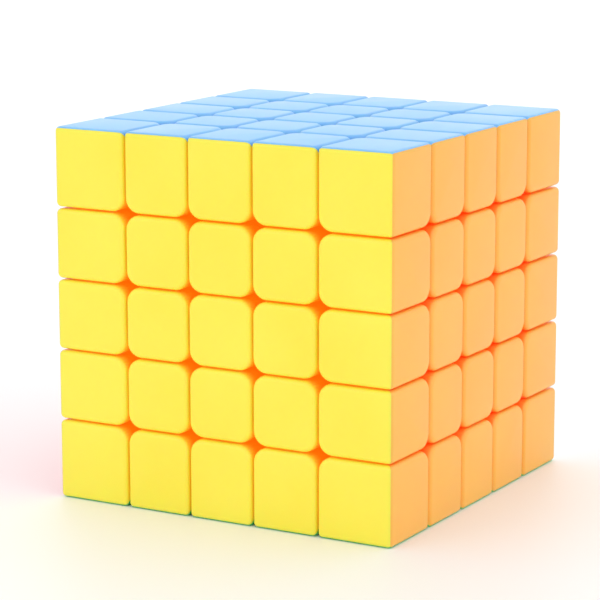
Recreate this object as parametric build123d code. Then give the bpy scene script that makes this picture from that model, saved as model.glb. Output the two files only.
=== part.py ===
from build123d import *
import math
import os

# A twisty puzzle cube with five layers a side, in millimetres.
# It is modelled about its own centre and written with its origin at the middle of its bottom face.
# +Z is up, the front faces -Y and the right side faces +X.

os.makedirs("parts", exist_ok=True)

# Layers
inner_layer = 11.8  # thickness of each of the three inner layers
outer_layer = 13.3  # thickness of each of the two outer layers
gap = 0.3  # clearance between any two neighbouring pieces

# Coloured caps
cap_depth = 3.0  # how far a cap reaches in from its face
cap_wall = 1.2  # side wall and roof of a cap
plan_radius = 2.4  # rounding of a cap's corners seen square on, away from the cube's own edges
rim_radius = 0.8  # rounding along the rim of every face
star_depth = 3.0  # how far the rounded corners go on below the caps

# Piece bodies
foot_thickness = 3.5  # of the feet under corners and edges
hook_thickness = 4.5  # of the hooks under the centres, below the feet
foot_gap = 0.4  # clearance above and below a foot, which lets a layer lift
stalk_angle = 60.0  # from a face's axis to the side of a stalk, above the feet
foot_angle = 66.0  # from a face's axis to the edge of a foot
hook_reach = 1.5  # how far a hook reaches under its neighbour
pocket_wall = 1.2  # wall left around the moulding pocket under a cap
pocket_depth = 3.0  # of the pocket below the caps
edge_pocket_depth = 6.0  # the same in corners and edges
overlap = 1.0  # how far a plug or hub runs into the body it joins

# Core and spring stack, along each face's axis
core_radius = 8.0
arm_radius = 4.0
arm_end = 11.0  # from the cube's centre to the end of an arm
hub_floor = 1.5  # floor of a fixed centre's hub
screw_radius = 1.25
running_fit = 0.1  # round the screw, in the hub's floor and the washers
thread_end = 4.0  # from the cube's centre to the tip of a screw
bore_radius = 2.7  # bore of a fixed centre, for its spring
bore_fit = 0.2  # round washers and screw head in that bore
washer_thickness = 0.4
spring_length = 6.6
spring_wire = 0.5
spring_turns = 5
head_height = 1.8
head_bevel = 0.25
recess_width = 0.7  # of the cross recess in a screw's head
recess_depth = 1.0
recess_length = 1.3  # as a share of the head's radius

# Worked out from the above
half = inner_layer * 1.5 + outer_layer
mid_cut = inner_layer / 2
outer_cut = inner_layer * 1.5
clear = gap / 2
foot_clear = foot_gap / 2
knee = half - cap_depth  # top of the piece bodies, and where the outer cut turns inwards
foot_top = outer_cut * math.sqrt(2)
foot_bottom = foot_top - foot_thickness
hook_bottom = foot_bottom - hook_thickness
hook_cut = mid_cut - hook_reach
hub_seat = arm_end + hub_floor
spring_seat = hub_seat + washer_thickness
head_seat = spring_seat + spring_length + washer_thickness
head_radius = bore_radius - bore_fit
far = half * 2  # beyond everything

OUTER, SECOND, MIDDLE = "outer", "second", "middle"
TO_AXIS = [Rotation(0, 90, 0), Rotation(-90, 0, 0), Rotation(0, 0, 0)]  # from +Z to +X, +Y and +Z
face_turns = [Rotation(0, 0, 90 * side) * Rotation(0, 90, 0) for side in range(4)]
face_turns += [Rotation(0, 0, 0), Rotation(180, 0, 0)]  # the four sides, then top and bottom


def on_circle(radius, height):
    """Distance from the axis of a point at a height on a circle about the centre."""
    return math.sqrt(radius**2 - height**2)


def on_cone(radius, angle, shift):
    """Where a cone's side, shifted along its axis, meets a circle about the centre."""
    slope = 1 / math.tan(math.radians(angle))
    a = 1 + slope**2
    b = 2 * slope * shift
    c = shift**2 - radius**2
    r = (-b + math.sqrt(b * b - 4 * a * c)) / (2 * a)
    return (r, slope * r + shift)


def on_neck(radius, side):
    """Where the side of a stalk meets a circle. side is 1 above the cut and -1 below it."""
    top = (knee, outer_cut)
    low = on_cone(foot_top, stalk_angle, 0)
    dr = top[0] - low[0]
    dz = top[1] - low[1]
    shift = side * clear * math.hypot(dr, dz) / dr
    slope = dz / dr
    start = low[1] - slope * low[0] + shift
    a = 1 + slope**2
    b = 2 * slope * start
    c = start**2 - radius**2
    r = (-b + math.sqrt(b * b - 4 * a * c)) / (2 * a)
    knee_r = (outer_cut + side * clear - start) / slope
    return (r, slope * r + start), (knee_r, outer_cut + side * clear)


def arc_between(radius, start, end):
    """An arc about the centre from one point on it to another."""
    angle = (math.atan2(start[1], start[0]) + math.atan2(end[1], end[0])) / 2
    middle = (radius * math.cos(angle), radius * math.sin(angle))
    return ThreePointArc(as_point(start), as_point(middle), as_point(end))


def as_point(p):
    return Vector(p[0], 0, p[1])


def run_of(*points):
    return [Line(as_point(a), as_point(b)) for a, b in zip(points, points[1:])]


def turned(edges):
    return revolve(Face(Wire(edges)), Axis.Z, 360)


def outer_zone():
    """Everything beyond the outer cut of a face, with the wide feet below its stalks."""
    shift = clear / math.sin(math.radians(foot_angle))
    foot = on_cone(foot_top - foot_clear, foot_angle, shift)
    neck, bend = on_neck(foot_top - foot_clear, 1)
    edges = run_of((0, shift), foot)
    edges += [arc_between(foot_top - foot_clear, foot, neck)]
    edges += run_of(neck, bend, (far, bend[1]), (far, far), (0, far), (0, shift))
    return turned(edges)


def second_zone():
    """The second layer of a face: between the middle cut and the outer cut."""
    shift = -clear / math.sin(math.radians(foot_angle))
    low = hook_cut + clear
    high = mid_cut + clear
    foot = on_cone(foot_top + foot_clear, foot_angle, shift)
    neck, bend = on_neck(foot_top + foot_clear, -1)
    step = foot_bottom - foot_clear
    start = ((low - shift) * math.tan(math.radians(foot_angle)), low)
    outside = (on_circle(step, high), high)
    inside = (on_circle(step, low), low)
    edges = run_of(start, foot)
    edges += [arc_between(foot_top + foot_clear, foot, neck)]
    edges += run_of(neck, bend, (far, bend[1]), (far, high), outside)
    edges += [arc_between(step, outside, inside)]
    edges += run_of(inside, start)
    return turned(edges)


def middle_zone():
    """The middle layer of a face, narrower where the hooks pass beside it."""
    low = hook_cut - clear
    high = mid_cut - clear
    step = foot_bottom + foot_clear
    inside = (on_circle(step, low), low)
    outside = (on_circle(step, high), high)
    below = [(r, -z) for r, z in (inside, outside)]
    edges = run_of((0, low), inside)
    edges += [arc_between(step, inside, outside)]
    edges += run_of(outside, (far, high), (far, -high), below[1])
    edges += [arc_between(step, below[1], below[0])]
    edges += run_of(below[0], (0, -low), (0, low))
    return turned(edges)


zones = {OUTER: outer_zone(), SECOND: second_zone(), MIDDLE: middle_zone()}
spans = {
    OUTER: (outer_cut + clear, half),
    SECOND: (mid_cut + clear, outer_cut - clear),
    MIDDLE: (clear - mid_cut, mid_cut - clear),
}


def rod(radius, start, end):
    """A cylinder along +Z between two heights."""
    return Pos(0, 0, (start + end) / 2) * Cylinder(radius, end - start)


def box_between(low, high):
    size = [b - a for a, b in zip(low, high)]
    middle = [(a + b) / 2 for a, b in zip(low, high)]
    return Pos(*middle) * Box(*size)


def span_of(edge, axis):
    box = edge.bounding_box()
    return tuple(box.min)[axis], tuple(box.max)[axis]


def lies_at(edge, axis, value):
    return all(abs(v - value) < 1e-4 for v in span_of(edge, axis))


def rounded_block(ranks):
    """The outside of a piece: square towards its neighbours, rounded at its faces."""
    low = [spans[rank][0] for rank in ranks]
    block = box_between(low, [spans[rank][1] for rank in ranks])
    faces = [axis for axis, rank in enumerate(ranks) if rank == OUTER]
    corners = []
    for edge in block.edges():
        for axis in faces:
            others = [other for other in range(3) if other != axis]
            along = not lies_at(edge, axis, sum(span_of(edge, axis)) / 2)
            if along and not any(lies_at(edge, other, half) for other in others):
                corners.append(edge)
    block = fillet(corners, plan_radius)
    rims = [e for e in block.edges() if any(lies_at(e, axis, half) for axis in faces)]
    return fillet(rims, rim_radius)


def plug_box(ranks, inset):
    """The block inside a piece's caps, a wall away from its sides and its faces."""
    low = []
    high = []
    for rank in ranks:
        low.append(spans[rank][0] + inset)
        high.append(half - cap_wall if rank == OUTER else spans[rank][1] - inset)
    return low, high


def caps_of(ranks):
    """One cap for each face, cut apart on the mitres between faces."""
    faces = [axis for axis, rank in enumerate(ranks) if rank == OUTER]
    below = [knee if rank == OUTER else far for rank in ranks]
    shell = rounded_block(ranks) - box_between([-far] * 3, below)
    shell = shell - box_between(*plug_box(ranks, cap_wall))
    caps = []
    for axis in faces:
        cap = shell
        for other in faces:
            if other == axis:
                continue
            towards = [0, 0, 0]
            towards[axis] = 1
            towards[other] = -1
            side = Plane(origin=(0, 0, 0), z_dir=tuple(towards))
            cap = split(cap, bisect_by=side, keep=Keep.TOP)
        caps.append((cap.solids()[0], axis))
    return caps


def star_cut(faces):
    """The gaps that four rounded corners leave, going on below the caps."""
    size = plan_radius * 2 + gap
    star = Rectangle(size, size)
    for x in (-size / 2, size / 2):
        for y in (-size / 2, size / 2):
            star -= Pos(x, y) * Circle(plan_radius)
    prism = extrude(star, star_depth)
    lines = (-outer_cut, -mid_cut, mid_cut, outer_cut)
    cuts = []
    for axis in faces:
        for x in lines:
            for y in lines:
                cuts.append(TO_AXIS[axis] * Pos(x, y, knee - star_depth) * prism)
    return cuts


def pocket_box(ranks, faces):
    """The moulding pocket of a piece, which opens under the last of its caps."""
    low, high = plug_box(ranks, cap_wall + pocket_wall)
    for axis in faces:
        high[axis] = half - cap_wall - pocket_wall
    low[faces[-1]] = knee - (pocket_depth if len(faces) == 1 else edge_pocket_depth)
    high[faces[-1]] = half
    return low, high


def body_of(ranks):
    """A piece's body: stalk and foot, with the plug that its caps sit on."""
    faces = [axis for axis, rank in enumerate(ranks) if rank == OUTER]
    body = TO_AXIS[0] * zones[ranks[0]]
    for axis in (1, 2):
        body = body & (TO_AXIS[axis] * zones[ranks[axis]])
    body = body & box_between([-knee] * 3, [knee] * 3)
    body = body - Sphere(hook_bottom if len(faces) == 1 else foot_bottom + foot_clear)
    for cut in star_cut(faces):
        if cut.bounding_box().overlaps(body.bounding_box(), 0.01):
            body = body - cut
    low, high = plug_box(ranks, cap_wall)
    if len(faces) == 1:
        low[faces[0]] = knee - overlap
    body = body + box_between(low, high)
    if ranks.count(MIDDLE) < 2:
        body = body - box_between(*pocket_box(ranks, faces))
    return body


def fixed_centre_body():
    """A fixed centre along +X, with its hub, its bore and the hole for its screw."""
    body = body_of((OUTER, MIDDLE, MIDDLE))
    body = body + TO_AXIS[0] * rod(arm_radius, arm_end, hook_bottom + overlap)
    body = body - TO_AXIS[0] * rod(bore_radius, hub_seat, half)
    return body - TO_AXIS[0] * rod(screw_radius + running_fit, 0, half)


def ring(outside, inside, start, end):
    return rod(outside, start, end) - rod(inside, start, end)


def core():
    """The ball at the centre, with six arms that the fixed centres turn on."""
    body = Sphere(core_radius)
    for turn in face_turns:
        body = body + turn * rod(arm_radius, 0, arm_end)
    for turn in face_turns:
        body = body - turn * rod(screw_radius, thread_end, arm_end)
    return body


def screw():
    """A screw along +Z, with a cross recess in its head."""
    body = rod(screw_radius, thread_end, head_seat) + rod(head_radius, head_seat, head_seat + head_height)
    body = chamfer(body.edges().sort_by(Axis.Z)[-1], head_bevel)
    for turn in (0, 90):
        slot = Rot(0, 0, turn) * Box(head_radius * recess_length, recess_width, recess_depth * 2)
        body = body - Pos(0, 0, head_seat + head_height) * slot
    return body


def spring():
    """A coil spring along +Z between its two washers."""
    height = spring_length - spring_wire
    radius = bore_radius - bore_fit - spring_wire / 2
    coil = Pos(0, 0, spring_seat + spring_wire / 2) * Helix(height / spring_turns, height, radius)
    section = Plane(origin=coil @ 0, z_dir=coil % 0) * Circle(spring_wire / 2)
    return sweep(section, path=coil, is_frenet=True)


def turns_of_cube():
    """The 24 ways to turn a cube onto itself."""
    ways = []
    units = [Vector(*v) for v in ((1, 0, 0), (0, 1, 0), (0, 0, 1), (-1, 0, 0), (0, -1, 0), (0, 0, -1))]
    for x in units:
        for z in units:
            if abs(x.dot(z)) < 0.5:
                ways.append(Plane(origin=(0, 0, 0), x_dir=x, z_dir=z).location)
    return ways


def direction(turn, axis):
    """Which way a turn points an axis: 0 for X, 1 for Y and 2 for Z."""
    unit = [0, 0, 0]
    unit[axis] = 1
    return (turn * Pos(*unit)).position


def face_name(way):
    names = {(0, -1, 0): "front", (1, 0, 0): "right", (0, 1, 0): "back", (-1, 0, 0): "left"}
    names.update({(0, 0, 1): "face", (0, 0, -1): "face"})
    return names[tuple(round(v) for v in way)]


def layer_name(height):
    cuts = (-outer_cut, -mid_cut, mid_cut, outer_cut)
    names = ("bottom", "lower", "middle", "upper", "top")
    return names[sum(height > cut for cut in cuts)]


def add(node, solid):
    nodes.setdefault(node, []).append(solid)


def place_pieces(kind, ranks, body):
    """Puts one kind of piece in each of its places, and its caps with it."""
    caps = caps_of(ranks)
    centre = [sum(spans[rank]) / 2 for rank in ranks]
    filled = set()
    for turn in turns_of_cube():
        place = (turn * Pos(*centre)).position
        key = tuple(round(v, 2) for v in place)
        if key in filled:
            continue
        filled.add(key)
        layer = layer_name(place.Z)
        add(f"{layer}_{kind}_bodies", turn * body)
        for cap, axis in caps:
            add(f"{layer}_{face_name(direction(turn, axis))}_caps", turn * cap)


kinds = {
    "corner": (OUTER, OUTER, OUTER),
    "wing_edge": (OUTER, OUTER, SECOND),
    "middle_edge": (OUTER, OUTER, MIDDLE),
    "diagonal_centre": (OUTER, SECOND, SECOND),
    "cross_centre": (OUTER, MIDDLE, SECOND),
}
nodes = {}
for kind, ranks in kinds.items():
    place_pieces(kind, ranks, body_of(ranks))
place_pieces("fixed_centre", (OUTER, MIDDLE, MIDDLE), fixed_centre_body())

add("core", core())
washer = ring(head_radius, screw_radius + running_fit, 0, washer_thickness)
for turn, place in zip(face_turns, ("side",) * 4 + ("top", "bottom")):
    add("screws", turn * screw())
    add("head_washers", turn * Pos(0, 0, head_seat - washer_thickness) * washer)
    add(f"{place}_seat_washer" + "s" * (place == "side"), turn * Pos(0, 0, hub_seat) * washer)
    add(f"{place}_spring" + "s" * (place == "side"), turn * spring())

for node, solids in nodes.items():
    whole = Compound([piece for solid in solids for piece in solid.solids()])
    export_step(Pos(0, 0, half) * whole, f"parts/{node}.step")
    print(node, len(whole.solids()), round(whole.volume), "mm3")
print("cube", half * 2, "mm a side")
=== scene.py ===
import math

import bpy
from mathutils import Matrix, Vector


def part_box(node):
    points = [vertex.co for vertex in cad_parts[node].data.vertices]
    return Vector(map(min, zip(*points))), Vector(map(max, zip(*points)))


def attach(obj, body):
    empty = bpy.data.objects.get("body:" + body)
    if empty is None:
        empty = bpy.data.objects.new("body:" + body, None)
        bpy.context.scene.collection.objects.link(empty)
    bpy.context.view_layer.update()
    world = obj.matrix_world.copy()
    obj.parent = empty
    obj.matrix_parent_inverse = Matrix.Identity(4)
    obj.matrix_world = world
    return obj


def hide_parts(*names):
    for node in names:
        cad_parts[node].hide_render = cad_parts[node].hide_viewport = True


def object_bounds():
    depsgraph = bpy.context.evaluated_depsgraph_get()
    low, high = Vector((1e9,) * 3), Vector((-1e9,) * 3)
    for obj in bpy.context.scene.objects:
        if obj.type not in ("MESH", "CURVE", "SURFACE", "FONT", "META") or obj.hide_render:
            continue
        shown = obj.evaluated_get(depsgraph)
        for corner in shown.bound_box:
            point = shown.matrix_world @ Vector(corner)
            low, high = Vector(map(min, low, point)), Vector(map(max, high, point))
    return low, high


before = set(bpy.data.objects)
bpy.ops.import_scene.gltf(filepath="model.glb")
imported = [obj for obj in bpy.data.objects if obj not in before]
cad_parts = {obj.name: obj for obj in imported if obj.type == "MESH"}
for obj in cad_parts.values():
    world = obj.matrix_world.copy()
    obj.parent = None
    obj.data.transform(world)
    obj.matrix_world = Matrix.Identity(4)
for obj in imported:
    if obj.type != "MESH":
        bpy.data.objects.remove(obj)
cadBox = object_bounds()
print("frame loaded:", len(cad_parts), "nodes")

mm = 0.001
tolerance = 0.01 * mm
low, high = (Vector(corner) for corner in cadBox)
centre = (low + high) / 2
half = (high.z - low.z) / 2


def spanOf(node):
    bottom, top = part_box(node)
    return bottom.z - centre.z, top.z - centre.z


# how far the pieces of each layer reach from the cube's centre, read from the frame
secondSpan = spanOf("upper_front_caps")
middleSpan = spanOf("middle_front_caps")
outerSpan = (spanOf("top_front_caps")[0], half)
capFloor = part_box("top_face_caps")[0].z - centre.z


def newMaterial(name):
    material = bpy.data.materials.new(name)
    material.use_nodes = True
    nodes = material.node_tree.nodes
    return material, nodes, material.node_tree.links, nodes["Principled BSDF"]


def addNoise(nodes, links, scale, detail=2.0):
    where = nodes.new("ShaderNodeTexCoord")
    noise = nodes.new("ShaderNodeTexNoise")
    noise.inputs["Scale"].default_value = scale
    noise.inputs["Detail"].default_value = detail
    links.new(where.outputs["Object"], noise.inputs["Vector"])
    return noise


noiseRange = (0.3, 0.7)  # where most of a noise texture's values lie


def spread(nodes, links, source, lowest, highest):
    ranged = nodes.new("ShaderNodeMapRange")
    ranged.inputs["From Min"].default_value = noiseRange[0]
    ranged.inputs["From Max"].default_value = noiseRange[1]
    ranged.inputs["To Min"].default_value = lowest
    ranged.inputs["To Max"].default_value = highest
    links.new(source, ranged.inputs["Value"])
    return ranged.outputs["Result"]


def addBump(nodes, links, shader, noise, height, strength):
    bump = nodes.new("ShaderNodeBump")
    bump.inputs["Distance"].default_value = height
    bump.inputs["Strength"].default_value = strength
    links.new(noise.outputs["Fac"], bump.inputs["Height"])
    links.new(bump.outputs["Normal"], shader.inputs["Normal"])


plasticFinish = {
    "mottleScale": 55.0,
    "grainScale": 2600.0,
    "grainDetail": 1.0,
    "grainHeight": 0.02 * mm,
    "grainStrength": 0.12,
    "roughLow": 0.33,
    "roughHigh": 0.43,
    "paintedShadeStart": 0.5 * mm,  # depth below the face where the painted shade starts to darken the colour in the gaps
    "paintedShadeEnd": 2.6 * mm,
    "glow": 0.3,
    "glowDepth": 1.2 * mm,
    "glowReach": (1.0, 0.3, 0.06),
    "paintedGapGlow": 0.28,  # painted glow: emission in the gaps, as a share of the painted shade tone
}


def addGlow(shader):
    # light that passes through the plastic
    shader.inputs["Subsurface Weight"].default_value = plasticFinish["glow"]
    shader.inputs["Subsurface Scale"].default_value = plasticFinish["glowDepth"]
    shader.inputs["Subsurface Radius"].default_value = plasticFinish["glowReach"]


# each face's colour, mottled between two tones, and the darker, more saturated painted shade tone it takes
# down in the gaps
faceColoursAndPaintedShades = {
    "yellow": ((0.98, 0.82, 0.06), (1.0, 0.86, 0.08), (1.0, 0.30, 0.004)),
    "orange": ((0.98, 0.47, 0.07), (1.0, 0.51, 0.09), (1.0, 0.11, 0.004)),
    "blue": ((0.17, 0.47, 0.84), (0.20, 0.51, 0.88), (0.03, 0.25, 0.68)),
    "green": ((0.10, 0.66, 0.16), (0.12, 0.72, 0.19), (0.02, 0.42, 0.10)),
    "red": ((0.86, 0.06, 0.07), (0.92, 0.08, 0.09), (0.60, 0.01, 0.02)),
    "white": ((0.86, 0.86, 0.84), (0.90, 0.90, 0.88), (0.62, 0.60, 0.56)),
}


def mathNode(nodes, links, operation, first, second):
    node = nodes.new("ShaderNodeMath")
    node.operation = operation
    for socket, value in zip(node.inputs, (first, second)):
        if isinstance(value, (int, float)):
            socket.default_value = value
        else:
            links.new(value, socket)
    return node.outputs["Value"]


def cubePlace(nodes, links):
    # the point as seen from the cube's centre, and how far out it lies square to the nearest face
    where = nodes.new("ShaderNodeTexCoord")
    shift = nodes.new("ShaderNodeMapping")
    shift.inputs["Location"].default_value = -centre
    links.new(where.outputs["Object"], shift.inputs["Vector"])
    parts = nodes.new("ShaderNodeSeparateXYZ")
    links.new(shift.outputs["Vector"], parts.inputs["Vector"])
    sizes = [mathNode(nodes, links, "ABSOLUTE", parts.outputs[axis], 0) for axis in "XYZ"]
    widest = mathNode(nodes, links, "MAXIMUM", sizes[0], sizes[1])
    return parts, mathNode(nodes, links, "MAXIMUM", widest, sizes[2])


def mixColours(nodes, links, factor, first, second):
    mix = nodes.new("ShaderNodeMix")
    mix.data_type = "RGBA"
    links.new(factor, mix.inputs["Factor"])
    for socket, value in ((mix.inputs["A"], first), (mix.inputs["B"], second)):
        if isinstance(value, tuple):
            socket.default_value = (*value, 1)
        else:
            links.new(value, socket)
    return mix.outputs["Result"]


def capPlastic(colour):
    finish = plasticFinish
    material, nodes, links, shader = newMaterial(colour + "Plastic")
    mottle = addNoise(nodes, links, finish["mottleScale"])
    dark, light, paintedGapShade = faceColoursAndPaintedShades[colour]
    tone = mixColours(nodes, links, spread(nodes, links, mottle.outputs["Fac"], 0, 1), dark, light)
    # painted shade: below the face the colour darkens towards its painted shade tone, down in the gaps
    # between pieces
    outwards = cubePlace(nodes, links)[1]
    depth = nodes.new("ShaderNodeMapRange")
    depth.inputs["From Min"].default_value = half - finish["paintedShadeStart"]
    depth.inputs["From Max"].default_value = half - finish["paintedShadeEnd"]
    links.new(outwards, depth.inputs["Value"])
    tone = mixColours(nodes, links, depth.outputs["Result"], tone, paintedGapShade)
    # painted glow: down in the gaps the caps give off light in the painted shade tone, though they are no
    # lamp
    shader.inputs["Emission Color"].default_value = (*paintedGapShade, 1)
    paintedGlowStrength = mathNode(nodes, links, "MULTIPLY", depth.outputs["Result"], finish["paintedGapGlow"])
    links.new(paintedGlowStrength, shader.inputs["Emission Strength"])
    links.new(tone, shader.inputs["Base Color"])
    rough = spread(nodes, links, mottle.outputs["Fac"], finish["roughLow"], finish["roughHigh"])
    links.new(rough, shader.inputs["Roughness"])
    grain = addNoise(nodes, links, finish["grainScale"], finish["grainDetail"])
    addBump(nodes, links, shader, grain, finish["grainHeight"], finish["grainStrength"])
    addGlow(shader)
    return material


bodyFinish = {"roughLow": 0.38, "roughHigh": 0.5, "mottleScale": 90.0, "seamWidth": 0.02 * mm}
faceOrder = (
    ("X", 1, "orange"),
    ("X", -1, "red"),
    ("Y", 1, "white"),
    ("Y", -1, "yellow"),
    ("Z", -1, "green"),
)


def bodyPlastic():
    # each piece body takes the painted shade tones of its own faces, which meet on the cube's diagonals
    finish = bodyFinish
    material, nodes, links, shader = newMaterial("bodyPlastic")
    parts, outwards = cubePlace(nodes, links)
    edge = mathNode(nodes, links, "SUBTRACT", outwards, finish["seamWidth"])
    colour = faceColoursAndPaintedShades["blue"][2]
    for axis, sign, name in faceOrder:
        along = mathNode(nodes, links, "MULTIPLY", parts.outputs[axis], sign)
        chosen = mathNode(nodes, links, "GREATER_THAN", along, edge)
        # painted shade: each body is coloured in the painted shade tone of the face it lies under
        colour = mixColours(nodes, links, chosen, colour, faceColoursAndPaintedShades[name][2])
    links.new(colour, shader.inputs["Base Color"])
    mottle = addNoise(nodes, links, finish["mottleScale"])
    rough = spread(nodes, links, mottle.outputs["Fac"], finish["roughLow"], finish["roughHigh"])
    links.new(rough, shader.inputs["Roughness"])
    # painted glow: the bodies give off light in their painted shade colour, though they are no lamp
    links.new(colour, shader.inputs["Emission Color"])
    shader.inputs["Emission Strength"].default_value = plasticFinish["paintedGapGlow"]
    return material


coreFinish = {"colour": (0.72, 0.72, 0.69), "roughLow": 0.45, "roughHigh": 0.6, "mottleScale": 120.0}


def corePlastic():
    finish = coreFinish
    material, nodes, links, shader = newMaterial("corePlastic")
    shader.inputs["Base Color"].default_value = (*finish["colour"], 1)
    mottle = addNoise(nodes, links, finish["mottleScale"])
    rough = spread(nodes, links, mottle.outputs["Fac"], finish["roughLow"], finish["roughHigh"])
    links.new(rough, shader.inputs["Roughness"])
    return material


steelFinish = {"colour": (0.58, 0.58, 0.6), "roughLow": 0.2, "roughHigh": 0.38, "grainScale": 900.0}


def platedSteel():
    finish = steelFinish
    material, nodes, links, shader = newMaterial("platedSteel")
    shader.inputs["Base Color"].default_value = (*finish["colour"], 1)
    shader.inputs["Metallic"].default_value = 1
    grain = addNoise(nodes, links, finish["grainScale"])
    rough = spread(nodes, links, grain.outputs["Fac"], finish["roughLow"], finish["roughHigh"])
    links.new(rough, shader.inputs["Roughness"])
    return material


capMaterials = {colour: capPlastic(colour) for colour in faceColoursAndPaintedShades}
print("materials made")


capShape = {
    "cornerRadius": 2.4 * mm,
    "cornerSegments": 8,
    "rimRadius": 0.8 * mm,
    "rimSegments": 5,
    "wall": 1.2 * mm,
    "pocketDepth": 1.8 * mm,
    "smoothAngle": 25,
}
facingDown = -0.99  # a normal's height below which a face counts as an underside


def selectNothing(kind):
    bpy.ops.object.mode_set(mode="OBJECT")
    bpy.context.tool_settings.mesh_select_mode = (False, kind == "EDGE", kind == "FACE")
    mesh = bpy.context.object.data
    for group in (mesh.vertices, mesh.edges, mesh.polygons):
        group.foreach_set("select", [False] * len(group))
    return mesh


def selectEdges(test):
    mesh = selectNothing("EDGE")
    points = [vertex.co for vertex in mesh.vertices]
    for edge in mesh.edges:
        a, b = (points[index] for index in edge.vertices)
        edge.select = test(a, b)
    bpy.ops.object.mode_set(mode="EDIT")


def near(a, b):
    return abs(a - b) < tolerance


def modelCap(name, uSpan, vSpan):
    shape = capShape
    bpy.ops.object.select_all(action="DESELECT")
    size = (uSpan[1] - uSpan[0], vSpan[1] - vSpan[0], half - capFloor)
    place = (sum(uSpan) / 2, sum(vSpan) / 2, (half + capFloor) / 2)
    bpy.ops.mesh.primitive_cube_add(size=1, location=place, scale=size)
    cap = bpy.context.object
    cap.name = name
    bpy.ops.object.transform_apply(location=True, rotation=False, scale=True)

    def standing(a, b):
        return near(a.x, b.x) and near(a.y, b.y)

    def onOutside(point):
        return near(abs(point.x), half) or near(abs(point.y), half)

    selectEdges(lambda a, b: standing(a, b) and not onOutside(a))
    bpy.ops.mesh.bevel(
        offset=shape["cornerRadius"], segments=shape["cornerSegments"], affect="EDGES", clamp_overlap=False
    )
    selectEdges(
        lambda a, b: (near(a.z, half) and near(b.z, half)) or (standing(a, b) and onOutside(a))
    )
    bpy.ops.mesh.bevel(
        offset=shape["rimRadius"], segments=shape["rimSegments"], affect="EDGES", clamp_overlap=False
    )
    # the mitre towards each neighbouring face
    for direction, reach in ((Vector((1, 0, 0)), uSpan[1]), (Vector((0, 1, 0)), vSpan[1])):
        if near(reach, half):
            bpy.ops.mesh.select_all(action="SELECT")
            bpy.ops.mesh.bisect(
                plane_co=(0, 0, 0), plane_no=Vector((0, 0, -1)) + direction, use_fill=True, clear_outer=True
            )
    # the hollow underneath, where the cap sits on its piece
    mesh = selectNothing("FACE")
    for face in mesh.polygons:
        face.select = face.normal.z < facingDown and near(face.center.z, capFloor)
    bpy.ops.object.mode_set(mode="EDIT")
    bpy.ops.mesh.inset(thickness=shape["wall"], depth=0)
    bpy.ops.mesh.extrude_region_move(TRANSFORM_OT_translate={"value": (0, 0, shape["pocketDepth"])})
    bpy.ops.object.mode_set(mode="OBJECT")
    bpy.ops.object.shade_smooth_by_angle(angle=math.radians(shape["smoothAngle"]))
    return cap


def mirrored(span):
    return (-span[1], -span[0])


capModels = {
    "FixedCentre": modelCap("FixedCentre", middleSpan, middleSpan),
    "CrossCentre": modelCap("CrossCentre", secondSpan, middleSpan),
    "DiagonalCentre": modelCap("DiagonalCentre", secondSpan, secondSpan),
    "MiddleEdge": modelCap("MiddleEdge", outerSpan, middleSpan),
    "WingRight": modelCap("WingRight", outerSpan, secondSpan),
    "WingLeft": modelCap("WingLeft", outerSpan, mirrored(secondSpan)),
    "Corner": modelCap("Corner", outerSpan, outerSpan),
}
print("cap shapes modelled:", ", ".join(capModels))


turn = math.radians(90)
faces = {
    "top": (Matrix.Identity(4), "blue"),
    "bottom": (Matrix.Rotation(2 * turn, 4, "X"), "green"),
    "front": (Matrix.Rotation(turn, 4, "X"), "yellow"),
    "back": (Matrix.Rotation(-turn, 4, "X"), "white"),
    "right": (Matrix.Rotation(turn, 4, "Y"), "orange"),
    "left": (Matrix.Rotation(-turn, 4, "Y"), "red"),
}


def layerOf(height):
    for layer, edge in (("top", secondSpan[1]), ("upper", middleSpan[1]), ("middle", middleSpan[0])):
        if height > edge:
            return layer
    return "lower" if height > -secondSpan[1] else "bottom"


def placeCap(face, kind, number, place, colour):
    model = capModels[kind]
    cap = model.copy()
    cap.data = model.data.copy()
    cap.name = f"{face}{kind}Cap{number}"
    bpy.context.scene.collection.objects.link(cap)
    cap.data.transform(Matrix.Translation(centre) @ place)
    cap.data.materials.append(capMaterials[colour])
    points = [vertex.co.z for vertex in cap.data.vertices]
    layer = layerOf((min(points) + max(points)) / 2 - centre.z)
    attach(cap, layer + "_layer")
    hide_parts(f"{layer}_face_caps" if face in ("top", "bottom") else f"{layer}_{face}_caps")


for face, (facing, colour) in faces.items():
    for kind in capModels:
        for number in range(1 if kind == "FixedCentre" else 4):
            placeCap(face, kind, number + 1, facing @ Matrix.Rotation(number * turn, 4, "Z"), colour)
for model in capModels.values():
    bpy.data.objects.remove(model)
print("150 caps placed on six faces")


nodeMaterials = {"bodies": bodyPlastic(), "core": corePlastic(), "metal": platedSteel()}
for name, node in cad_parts.items():
    if node.hide_render:
        continue
    kind = "bodies" if name.endswith("_bodies") else "core" if name == "core" else "metal"
    node.data.materials.clear()
    node.data.materials.append(nodeMaterials[kind])
print("bodies, core and metal parts finished")


studio = {
    "floorSize": 6.0,
    "floorColour": (0.93, 0.93, 0.93),
    "floorRoughness": 0.55,
    "worldColour": (1.0, 1.0, 1.0),
    "worldStrength": 0.97,
}
lamps = {
    # name: place and size in metres, power in watts
    "frontSoftbox": ((-0.45, -0.95, 0.55), 0.7, 1.0),
    "rightSoftbox": ((0.95, -0.15, 0.45), 0.6, 0.8),
    "topSoftbox": ((0.0, 0.25, 1.0), 0.9, 0.8),
    "backSoftbox": ((-0.52, 0.95, 0.30), 0.8, 1.3),
}


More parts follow.
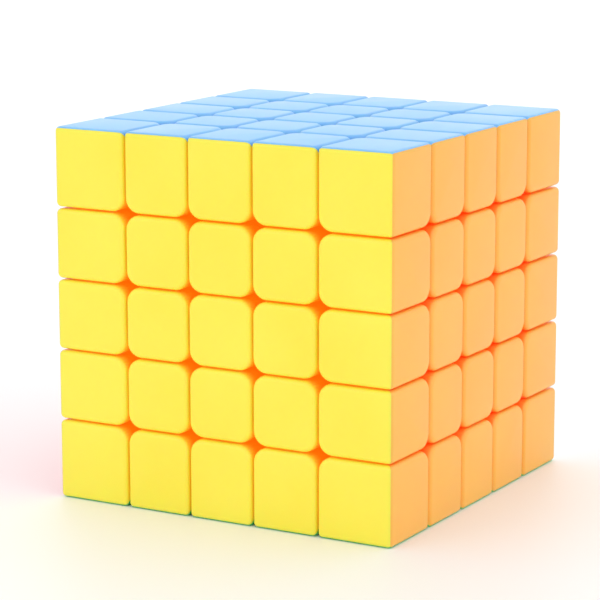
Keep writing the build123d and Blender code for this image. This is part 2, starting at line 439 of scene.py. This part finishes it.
def makeStudio():
    bpy.ops.object.select_all(action="DESELECT")
    bpy.ops.mesh.primitive_plane_add(size=studio["floorSize"], location=(0, 0, low.z))
    floor = bpy.context.object
    floor.name = "floor"
    material, nodes, links, shader = newMaterial("paleFloor")
    shader.inputs["Base Color"].default_value = (*studio["floorColour"], 1)
    shader.inputs["Roughness"].default_value = studio["floorRoughness"]
    floor.data.materials.append(material)
    world = bpy.data.worlds.new("studioWorld")
    world.use_nodes = True
    background = world.node_tree.nodes["Background"]
    background.inputs["Color"].default_value = (*studio["worldColour"], 1)
    background.inputs["Strength"].default_value = studio["worldStrength"]
    bpy.context.scene.world = world
    for name, (place, size, power) in lamps.items():
        light = bpy.data.lights.new(name, "AREA")
        light.shape = "SQUARE"
        light.size = size
        light.energy = power
        lamp = bpy.data.objects.new(name, light)
        lamp.location = place
        lamp.visible_camera = False
        lamp.rotation_euler = (centre - Vector(place)).to_track_quat("-Z", "Y").to_euler()
        bpy.context.scene.collection.objects.link(lamp)


cameraSet = {
    "sensorWidth": 36,
    "clipStart": 0.01,
    "azimuth": 29.39,
    "elevation": 11.31,
    "distance": 0.428,
    "lens": 152.3,
    "shiftX": -0.0245,
    "shiftY": -0.0001,
}


def makeCamera():
    data = bpy.data.cameras.new("camera")
    data.sensor_width = cameraSet["sensorWidth"]
    data.lens = cameraSet["lens"]
    data.shift_x = cameraSet["shiftX"]
    data.shift_y = cameraSet["shiftY"]
    data.clip_start = cameraSet["clipStart"]
    camera = bpy.data.objects.new("camera", data)
    azimuth = math.radians(cameraSet["azimuth"])
    elevation = math.radians(cameraSet["elevation"])
    away = Vector((
        math.sin(azimuth) * math.cos(elevation),
        -math.cos(azimuth) * math.cos(elevation),
        math.sin(elevation),
    ))
    camera.location = centre + away * cameraSet["distance"]
    camera.rotation_euler = (-away).to_track_quat("-Z", "Y").to_euler()
    bpy.context.scene.collection.objects.link(camera)
    bpy.context.scene.camera = camera


makeStudio()
makeCamera()
bpy.context.scene.view_settings.view_transform = "Standard"
print("studio ready")
